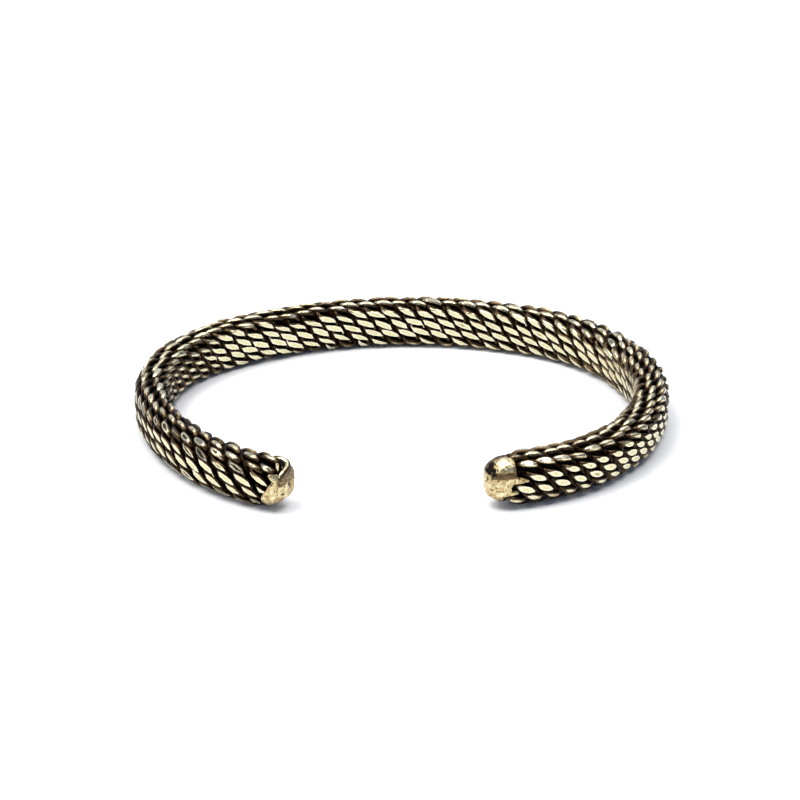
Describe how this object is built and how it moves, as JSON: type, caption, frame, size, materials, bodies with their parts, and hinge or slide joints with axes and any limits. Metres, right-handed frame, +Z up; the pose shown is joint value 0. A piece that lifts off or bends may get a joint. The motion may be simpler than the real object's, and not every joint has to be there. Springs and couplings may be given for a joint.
{
  "type": "woven link cuff bracelet",
  "caption": "Open C-shaped cuff bracelet of tightly woven antiqued brass links, with a rounded fused cap on each end.",
  "frame": {"origin": "centre of the bounding box in plan, on the surface that the cuff lies on", "axes": "+Z up across the band's height, along the wrist; +X across the cuff's width; the opening between the caps is towards -Y"},
  "size_m": [0.0658, 0.0516, 0.0063],
  "materials": {
    "woven_brass": "antiqued, with the high spots polished",
    "cap_brass": "pitted, rubbed bright"
  },
  "bodies": {
    "root": {"woven_band": "woven_brass", "end_cap_left": "cap_brass", "end_cap_right": "cap_brass"}
  },
  "joints": []
}
